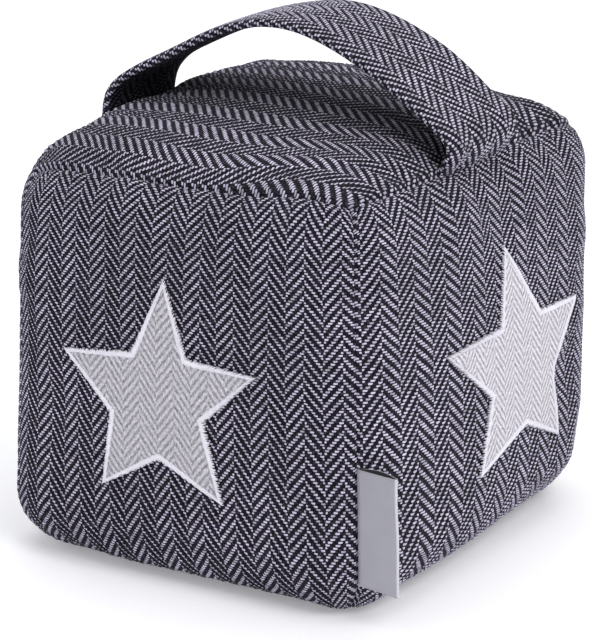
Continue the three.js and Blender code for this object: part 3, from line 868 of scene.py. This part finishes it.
def body():
    surface = Surface()
    grids = []
    seam_places = [side_grid(surface, grids, panel, cloth) for panel, cloth in zip(sides, cloths)]
    for panel, cloth, row, step in ((top, top_cloth, -1, TOP_STEP), (base, base_cloth, 0, BASE_STEP)):
        ex, ey = panel.width / 2, panel.length / 2
        s, t = [lid_lines(half, step) for half in (ex, ey)]
        s2, t2 = np.meshgrid(s, t)
        column, pick = cloth.column(s2, t2), cloth.pick(t2)
        relief = rib(column, pick) if panel is top else 0 * column
        ids = surface.add(cover_point(panel, s2, t2, relief))
        uv = np.stack([column * ENDS, pick], -1)
        surface.grid(ids, uv)
        # Each seam is sewn to the lid's edge: its points, its places along the edge, and where they lie
        sign = 1 if panel is top else -1
        near, far = (-1, 0) if panel is top else (0, -1)
        edges = [
            (ids[:, near], uv[:, near], t, lambda w: (sign * ex, w)),
            (ids[-1, ::-sign], uv[-1, ::-sign], -sign * s[::-sign], lambda w: (-sign * w, ey)),
            (ids[::-1, far], uv[::-1, far], -t[::-1], lambda w: (-sign * ex, -w)),
            (ids[0, ::sign], uv[0, ::sign], sign * s[::sign], lambda w: (sign * w, -ey)),
        ]
        for grid, places, (line, line_uv, line_places, on_lid) in zip(grids, seam_places, edges):
            seam_s, seam_t = np.broadcast_arrays(*on_lid(places))
            seam_uv = np.stack([cloth.column(seam_s, seam_t) * ENDS, cloth.pick(seam_t)], -1)
            surface.band((grid[row], places, seam_uv), (line, line_places, line_uv), flip=panel is base)
    return surface


body_piece = make("cover", body(), [charcoal])
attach(body_piece, "root")
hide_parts("filled_body")


# ---- carrying strap ----

STRAP_WIDTH, STRAP_THICK, STRAP_COLUMNS = 41.4, 2.8, 6
STRAP_PITCH = 3.9
STRAP_RIB = 0.22
STRAP_TWIST = math.radians(6.0)
EDGE_MARGIN = 1.2
STITCH_PLACE, STITCH_HALF_WIDTH, STITCH_DEPTH = 3.0, 0.5, 0.28
CREASE_PLACE, CREASE_HALF_WIDTH, CREASE_DEPTH = -9.0, 3.2, 1.3
BELLY = 0.35
FEET_SINK = 2.4


def settled(values):
    """A table's values with their corners rounded off, both ends kept."""
    values = np.array(values, float)
    for _ in range(2):
        values[1:-1] = 0.5 * values[1:-1] + 0.25 * (values[:-2] + values[2:])
    return values


# How far each edge stands over the strap's mid-line, along its length
STRAP_PLACES = np.linspace(0, 1, 26)
STRAP_NEAR = settled([1.0, 2.2, 1.9, 0.5, -1.2, -2, -2.4, -2.4, -2, -1.4, -0.4, 0.6, 1.3,
                      0.8, 0, -1.1, -2.2, -3.4, -4.5, -4.8, -4.9, -4.7, -4, -2.8, -1, 0])
STRAP_FAR = settled([1.8, 3.3, 2.9, 1.0, 0, -0.3, -0.3, 0, 0, 0, 0, 0, 0,
                     0, 0, 0, 0, 0, 0, 0, -0.4, -0.8, -0.8, -0.4, 0, 0])


def rounded(f, values):
    """The table read at f from 0 to 1, averaged over a step so that it bends smoothly."""
    offsets = np.linspace(-0.03, 0.03, 13)
    return np.mean([np.interp(np.clip(f + o, 0, 1), STRAP_PLACES, values) for o in offsets], 0)


def catmull(points, samples=1600):
    """The centripetal curve through the points, and how far along it each of its samples lies."""
    pts = [2 * points[0] - points[1]] + list(points) + [2 * points[-1] - points[-2]]
    out = []
    spans = len(points) - 1
    for k in range(spans):
        p0, p1, p2, p3 = pts[k:k + 4]
        d = [max(np.linalg.norm(b - a) ** 0.5, 1e-4) for a, b in ((p0, p1), (p1, p2), (p2, p3))]
        m1 = ((p1 - p0) / d[0] - (p2 - p0) / (d[0] + d[1]) + (p2 - p1) / d[1]) * d[1]
        m2 = ((p2 - p1) / d[1] - (p3 - p1) / (d[1] + d[2]) + (p3 - p2) / d[2]) * d[1]
        f = np.linspace(0, 1, samples // spans, endpoint=k == spans - 1)[:, None]
        bend = (3 * (p2 - p1) - 2 * m1 - m2) * f ** 2 + (2 * (p1 - p2) + m1 + m2) * f ** 3
        out.append(p1 + m1 * f + bend)
    line = np.concatenate(out)
    gone = np.concatenate([[0], np.cumsum(np.linalg.norm(np.diff(line, axis=0), axis=1))])
    return line, gone


def strap_line():
    """The strap's mid-line from foot to foot, placed by how far in from its seams and up from them."""
    left_seam, right_seam = top.point(0, -top.length / 2), top.point(0, top.length / 2)

    def left(inward, up):
        return np.array([left_seam[0] + inward, 0, left_seam[2] + up])

    def right(inward, up):
        return np.array([right_seam[0] - inward, 0, right_seam[2] + up])

    rising = [left(4.3, 11), left(21.8, 24.2)]
    falling = [right(23.8, 29.4), right(4.8, 18), right(-4, 8.5)]
    crown = np.array([8.0, 0, right_seam[2] + 38])

    def foot(side, inset, nxt):
        seat = top.point(0, side * (top.length / 2 - inset))
        return seat - unit(nxt - seat) * FEET_SINK

    points = [foot(-1, 1.7, rising[0]), *rising, crown, *falling, foot(1, 0.3, falling[2])]
    return catmull(points)


def strap():
    line, gone = strap_line()
    length = gone[-1]
    cloth = Cloth(STRAP_WIDTH / STRAP_COLUMNS, STRAP_PITCH)
    half, radius = STRAP_WIDTH / 2, STRAP_THICK / 2
    across = [(c + f) * cloth.width for c in range(STRAP_COLUMNS) for f in LINES_IN_COLUMN]
    across = np.array([a - half for a in across if EDGE_MARGIN < a < STRAP_WIDTH - EDGE_MARGIN])
    # The section's loop: outer face (1), an edge (2), inner face (3), the other edge (4)
    turn = np.linspace(0, math.pi, 7)[1:-1]
    section = [(a, 1.0, 1) for a in across]
    section += [(half - radius + radius * math.sin(a), math.cos(a), 2) for a in turn]
    section += [(a, -1.0, 3) for a in across[::-1]]
    section += [(-half + radius - radius * math.sin(a), -math.cos(a), 4) for a in turn]
    a, h, kind = np.array(section).T
    on_face = np.isin(kind, (1, 3))
    steps = np.hypot(np.diff(a, append=a[0]), np.diff(h * radius, append=h[0] * radius))
    gauge = np.concatenate([[0], np.cumsum(steps)])
    perimeter, gauge = gauge[-1], gauge[:-1]
    # The outer face's columns run on round both edges, and the inner face has its own
    girth = a + half
    girth[kind == 2] = across[-1] + half + gauge[kind == 2] - gauge[len(across) - 1]
    girth[kind == 4] = across[0] + half - (perimeter - gauge[kind == 4])
    column = cloth.column(girth)
    rows = np.arange(0, length, STRAP_PITCH / REPEAT)
    along = np.concatenate([[0, 0.5], rows[1:-1], [length - 0.5, length]])
    free = smooth(np.minimum(along, length - along), 0.5, FREE_OF_END)[:, None]
    along = cloth.at_pick(cloth.pick(along)[:, None] + (climb(column) - ENDS / 2) * free)
    along = np.clip(along, 0, length)
    pick = cloth.pick(along)
    relief = rib(np.broadcast_to(column, along.shape), pick) * on_face
    relief = relief * smooth(half - np.abs(a), 1.6, 3.4)

    def on_line(distance):
        return np.stack([np.interp(np.clip(distance, 0, length), gone, line[:, i]) for i in range(3)], -1)

    f, left_to_go = along / length, length - along
    tangent = unit(on_line(along + 0.6) - on_line(along - 0.6))
    near_edge, far_edge = [rounded(f, edge) for edge in (STRAP_NEAR, STRAP_FAR)]
    twist = smooth(f, 0.45, 0.8) * (1 - smooth(f, 0.86, 1)) + 0.55 * hump(f, 0.36, 0.14)
    lean = STRAP_TWIST * twist + (near_edge - far_edge) / STRAP_WIDTH
    lift = 1.6 * smooth(f, 0.05, 0.35) * (1 - smooth(f, 0.88, 1))
    lift = lift + hump(f, 0.7, 0.11) + 1.2 * hump(f, 0.38, 0.15) + (near_edge + far_edge) / 2
    y = np.array([0.0, 1.0, 0.0])
    side = y * np.cos(lean)[..., None] - np.cross(tangent, y) * np.sin(lean)[..., None]
    side = unit(side - tangent * (side * tangent).sum(-1, keepdims=True))
    out = -np.cross(side, tangent)
    # The double cloth is softer between its stitched edges, and the feet are drawn in a little
    belly = BELLY * (1 - (a / half) ** 2) * free
    drawn = 1 - 0.03 * (1 - smooth(left_to_go, 0, 16)) - 0.02 * (1 - smooth(along, 0, 14))
    crease = CREASE_DEPTH * hump(a, CREASE_PLACE, CREASE_HALF_WIDTH) * (1 - smooth(left_to_go, 0, 22))
    stitches = STITCH_DEPTH * hump(half - np.abs(a), STITCH_PLACE, STITCH_HALF_WIDTH) * on_face
    height = lift - crease + h * radius + np.sign(h) * (relief * STRAP_RIB + belly - stitches)
    points = on_line(along) + side * (a * drawn)[..., None] + out * height[..., None]
    surface = Surface()
    ids = surface.add(points)
    uv = np.stack([np.broadcast_to(column * ENDS, along.shape), pick], -1)
    closed_ids = np.concatenate([ids, ids[:, :1]], 1)
    closed_uv = np.concatenate([uv, uv[:, :1]], 1)
    outer = len(across) + len(turn)
    inner = outer + len(across)
    surface.grid(closed_ids[:, :outer], closed_uv[:, :outer], flip=True)
    # The inner face gets the second material, the cloth painted darker as painted shade under the strap
    reverse = closed_uv[:, outer - 1:inner + 1].copy()
    reverse[:, 0, 0] = (STRAP_WIDTH - EDGE_MARGIN / 2) / cloth.width * ENDS
    reverse[:, -1, 0] = EDGE_MARGIN / 2 / cloth.width * ENDS
    surface.grid(closed_ids[:, outer - 1:inner + 1], reverse, 1, flip=True)
    surface.grid(closed_ids[:, inner:], closed_uv[:, inner:], flip=True)
    for row in (0, -1):
        middle = surface.add(points[row].mean(0)[None])[0]
        surface.fan(ids[row], uv[row], middle, uv[row][0], 1, flip=row == -1)
    return surface


strap_piece = make("strap", strap(), [strap_cloth, strap_painted_shade])
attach(strap_piece, "root")
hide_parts("carry_strap")


# ---- star appliques ----

BORDER = 2.0
SEAT = 0.42
PATCH = 0.55
PUFF = 0.35
STITCH_STEP, LONGEST_STITCH, THREAD_RADIUS = 0.4, 2.9, 0.25
# Each outline's corners run from the top tip to the left, in its panel's s and t
STARS = {
    "front": dict(panel=sides[0], cloth=Cloth(6.4, 3.1), start=-3.0, corners=[
        (-0.6, 40.5), (-12.9, 15.3), (-39.2, 11.9), (-21.5, -6.0), (-25.4, -31.2),
        (-3.2, -18.5), (20.1, -29.4), (13.7, -3.1), (32.9, 14.6), (7.7, 16.3)]),
    "right": dict(panel=sides[1], cloth=Cloth(5.85, 2.85), start=3.0, corners=[
        (4.9, 41.1), (1.4, 14.6), (-31.1, 14.2), (-5.1, -6.8), (-12.0, -31.7),
        (16.5, -22.7), (38.8, -33.4), (36.2, -8.8), (50.7, 11.7), (26.8, 13.4)]),
}


def star_outline(star, margin):
    """The outline's corners in the panel's coordinates, with each edge moved out by a margin."""
    corners = np.array(star["corners"], float)
    along = unit(np.roll(corners, -1, 0) - corners)
    after = np.stack([along[:, 1], -along[:, 0]], -1)
    before = np.roll(after, 1, 0)
    return corners + margin * (before + after) / (1 + (before * after).sum(-1, keepdims=True))


def on_cover(panel, s, t, height):
    """A point over the finished cover, its puckers followed, at this height over the ribs' mean."""
    under = pushed(panel.point(s, t)) + puckers(panel, s, t)
    return under + panel.normal(s, t) * np.asarray(height, float)[..., None]


def outline_line(corners, steps):
    f = np.linspace(0, 1, steps, endpoint=False)[:, None]
    return np.concatenate([a + (b - a) * f for a, b in zip(corners, np.roll(corners, -1, 0))])


def polygon_area(corners):
    nxt = np.roll(corners, -1, 0)
    return 0.5 * float((corners[:, 0] * nxt[:, 1] - corners[:, 1] * nxt[:, 0]).sum())


def star_patch(star):
    """The star's cloth, a closed thin piece, with its area in square metres and its corners."""
    corners = star_outline(star, -BORDER * 0.5)
    rim = outline_line(corners, 16)
    centre = corners[1::2].mean(0)
    rings = np.linspace(0, 1, 34)[1:]
    flat = centre + (rim - centre)[None] * rings[:, None, None]
    panel, cloth, start = star["panel"], star["cloth"], star["start"]
    uv = np.stack([cloth.column(flat[..., 0] - start) * ENDS, cloth.pick(flat[..., 1])], -1)
    middle_uv = np.array([cloth.column(centre[0] - start) * ENDS, cloth.pick(centre[1])])
    surface = Surface()
    rims = []
    for up, puff, under in ((PATCH, PUFF, False), (0.0, 0.0, True)):
        # The border's stitches draw the patch down at its rim
        height = SEAT + up + puff * smooth(1 - rings, 0, 0.12)[:, None]
        ids = surface.add(on_cover(panel, flat[..., 0], flat[..., 1], height))
        middle = surface.add(on_cover(panel, centre[:1], centre[1:], SEAT + up + puff))[0]
        surface.grid(ids, uv, closed=True, flip=not under)
        surface.fan(ids[0], uv[0], middle, middle_uv, flip=under)
        rims.append(ids[-1])
    surface.grid(np.stack(rims), np.stack([uv[-1], uv[-1]]), closed=True, flip=True)
    return surface, abs(polygon_area(corners)) * 1e-6, corners


def star_border(star):
    """Satin stitches: one thread after another over the patch's edge."""
    inside, outside = star_outline(star, -BORDER), star_outline(star, 0.0)
    surface = Surface()
    ring = np.linspace(0, 2 * math.pi, 6, endpoint=False)
    arc = np.linspace(0, math.pi, 6)
    for i in range(len(inside)):
        j = (i + 1) % len(inside)
        along = outside[j] - outside[i]
        edge = unit(along)
        count = int(float(np.linalg.norm(along)) / STITCH_STEP)
        # Each stitch lies a little off its place, leans, and is a little longer or shorter than the next
        for k in range(count):
            f = (k + 0.5 + rng.uniform(-0.12, 0.12)) / count
            near = inside[i] + (inside[j] - inside[i]) * f
            far = outside[i] + along * f
            width = float(np.linalg.norm(far - near))
            across = (far - near) / width
            lean = edge * rng.uniform(-0.05, 0.22)
            reach_in, reach_out = rng.uniform(-0.25, 0.3), rng.uniform(-0.3, 0.4)
            a = near - across * (0.05 + reach_in) - lean * width * 0.5
            b = far + across * (0.02 + reach_out) + lean * width * 0.5
            if width > LONGEST_STITCH:
                # Past a tip's mitre the thread stays as long as the others
                a = b - (b - a) / width * LONGEST_STITCH
            at = (a + b) / 2 - (b - a) / 2 * np.cos(arc)[:, None]
            rise = PATCH + 0.38 + rng.uniform(-0.06, 0.06)
            up = SEAT - 0.1 + rise * np.sin(arc) ** 0.5
            thick = THREAD_RADIUS + 0.02 * rng.uniform(-1, 1)
            girth = thick * np.sqrt(np.clip(np.sin(arc), 0.12, 1))[:, None]
            s, t = [at[:, None, n] + edge[n] * (girth * np.cos(ring)) for n in (0, 1)]
            height = up[:, None] + girth * np.sin(ring) * 0.9
            ids = surface.add(on_cover(star["panel"], s, t, height))
            surface.grid(ids, np.zeros((*ids.shape, 2)), closed=True)
            for loop in (ids[0][::-1], ids[-1]):
                for m in range(1, len(loop) - 1):
                    surface.polygon((loop[0], loop[m], loop[m + 1]), [(0, 0)] * 3)
    return surface


for label, star in STARS.items():
    patch_surface, patch_area, corners = star_patch(star)
    patch = make(f"{label}_star_patch", patch_surface, [star_cloth])
    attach(patch, "root")
    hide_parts(f"{label}_star")
    border = make(f"{label}_star_border", star_border(star), [thread])
    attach(border, "root")
    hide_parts(f"{label}_star_stitching")


# ---- ribbon label ----

LABEL_HEIGHT, LABEL_BASE, LABEL_REACH = 38.5, 13.5, 15.0
LABEL_PLY, LABEL_GAP = 0.32, 0.5
LABEL_SWING, LABEL_FLARE = math.radians(-5.5), math.radians(2.5)
LABEL_OPEN, LABEL_LIFT, LABEL_WAVE, LABEL_DIP = 1.25, 0.45, 0.22, 0.9


def label_surface():
    """The ribbon folded round its far end: the outer loop of its section, then the inner one."""
    front = sides[0]
    half_gap = LABEL_GAP / 2
    fold = half_gap + LABEL_PLY
    arc = np.linspace(-math.pi / 2, math.pi / 2, 9)
    reach = LABEL_REACH - fold
    flat = np.linspace(0, reach, 12)[:-1]
    outer = [(x, -fold) for x in flat]
    outer += [(reach + fold * math.cos(a), fold * math.sin(a)) for a in arc]
    outer += [(x, fold) for x in flat[::-1]]
    inner = [(x, half_gap) for x in flat]
    inner += [(reach + half_gap * math.cos(a), -half_gap * math.sin(a)) for a in arc]
    inner += [(x, -half_gap) for x in flat[::-1]]
    loop = np.array(outer + inner)
    x, d = loop[:, 0], loop[:, 1]
    levels = np.linspace(0, 1, 26)
    z = LABEL_BASE + LABEL_HEIGHT * levels
    swing = LABEL_SWING + LABEL_FLARE * (1 - levels) ** 2
    direction = np.stack([np.cos(swing), np.sin(swing), 0 * swing], -1)
    thick = np.stack([-direction[:, 1], direction[:, 0], 0 * swing], -1)
    root = front.point(front.width / 2, front.level(z))
    start = np.stack([root[:, 0], root[:, 1], z], -1) + unit(np.array([1.0, -1.0, 0.0])) * 0.1
    # The back ply stands a little open and higher, the ribbon waves, and its lower edge dips outwards
    level = levels[:, None]
    back_ply = np.where(d > 0, np.sin(np.pi * np.clip(x / reach, 0, 1)), 0)
    opened = LABEL_OPEN * back_ply * (0.4 + 0.6 * level)
    wave = LABEL_WAVE * np.sin(level * 9 + x * 0.25) * (x / LABEL_REACH)
    points = (start[:, None] + direction[:, None] * x[None, :, None]
              + thick[:, None] * (d + opened + wave)[..., None])
    dip = -LABEL_DIP * (x / LABEL_REACH) * (1 - level) ** 3
    points[..., 2] += dip + LABEL_LIFT * level ** 3 * back_ply
    surface = Surface()
    ids = surface.add(points)
    along = np.concatenate([[0], np.cumsum(np.linalg.norm(np.diff(loop, axis=0), axis=1))])
    uv = np.stack([np.broadcast_to(along, ids.shape), np.broadcast_to(z[:, None], ids.shape)], -1)
    surface.grid(ids, uv, closed=True)
    n = len(outer)
    for row in (0, -1):
        for i in range(n - 1):
            quad = [ids[row][m] for m in (i, i + 1, 2 * n - 2 - i, 2 * n - 1 - i)]
            surface.polygon(quad if row else quad[::-1], [(0.0, 0.0)] * 4)
    return surface


label_piece = make("folded_label", label_surface(), [ribbon])
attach(label_piece, "root")
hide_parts("ribbon_label")


# ---- floor, light and camera ----

floor_mesh = bpy.data.meshes.new("floor")
floor_mesh.from_pydata([(-4, -4, 0), (4, -4, 0), (4, 4, 0), (-4, 4, 0)], [], [(0, 1, 2, 3)])
floor = placed("floor", floor_mesh)
white = Nodes("floor_white")
white.put("Base Color", (0.93, 0.93, 0.95, 1))
white.put("Roughness", 0.9)
white.put("Specular IOR Level", 0.1)
white.put("Emission Color", (1, 1, 1, 1))
white.put("Emission Strength", 0.21)
floor_mesh.materials.append(white.material)

world = bpy.data.worlds.new("studio")
bpy.context.scene.world = world
world.use_nodes = True
world.node_tree.nodes["Background"].inputs[0].default_value = (0.97, 0.98, 1.0, 1)
world.node_tree.nodes["Background"].inputs[1].default_value = 0.575

LIT = Vector((0, 0, 0.07))


def area_light(name, place, size, power, colour=(1, 1, 1)):
    light = bpy.data.lights.new(name, "AREA")
    light.shape = "DISK"
    light.size = size
    light.energy = power
    light.color = colour
    lamp = placed(name, light)
    lamp.location = place
    lamp.rotation_euler = (LIT - Vector(place)).to_track_quat("-Z", "Y").to_euler()


area_light("key", (1.0, -0.48, 1.05), 0.7, 7.3, (1.0, 0.99, 0.97))
area_light("fill", (-0.9, -0.7, 0.7), 0.9, 1.7, (0.94, 0.96, 1.0))
area_light("above", (-0.1, 0.3, 1.4), 1.8, 9.4)

# The camera, as fitted to the photograph: its angles, its distance, and the frame in pixels
AZIMUTH, ELEVATION, ROLL = math.radians(33.25), math.radians(18.91), math.radians(-0.91)
DISTANCE = 1.184
FRAME_W, FRAME_H = 592, 640
FOCAL_PX = 3587.5
CENTRE_PX = (304.4, 345.9)
LOOK_AT = Vector((0, 0, 0.06))
SENSOR_MM = 36

back = Vector((math.sin(AZIMUTH) * math.cos(ELEVATION),
               -math.cos(AZIMUTH) * math.cos(ELEVATION),
               math.sin(ELEVATION)))
level_right = Vector((math.cos(AZIMUTH), math.sin(AZIMUTH), 0))
level_up = back.cross(level_right)
view_right = level_right * math.cos(ROLL) + level_up * math.sin(ROLL)
view_up = back.cross(view_right)
camera_data = bpy.data.cameras.new("camera")
camera = placed("camera", camera_data)
longest = max(FRAME_W, FRAME_H)
camera_data.sensor_width = SENSOR_MM
camera_data.lens = FOCAL_PX / longest * SENSOR_MM
camera_data.shift_x = -(CENTRE_PX[0] - FRAME_W / 2) / longest
camera_data.shift_y = (CENTRE_PX[1] - FRAME_H / 2) / longest
place = LOOK_AT + back * DISTANCE
camera.matrix_world = Matrix((
    (view_right.x, view_up.x, back.x, place.x),
    (view_right.y, view_up.y, back.y, place.y),
    (view_right.z, view_up.z, back.z, place.z),
    (0, 0, 0, 1)))
bpy.context.scene.camera = camera
bpy.context.scene.view_settings.view_transform = "Standard"
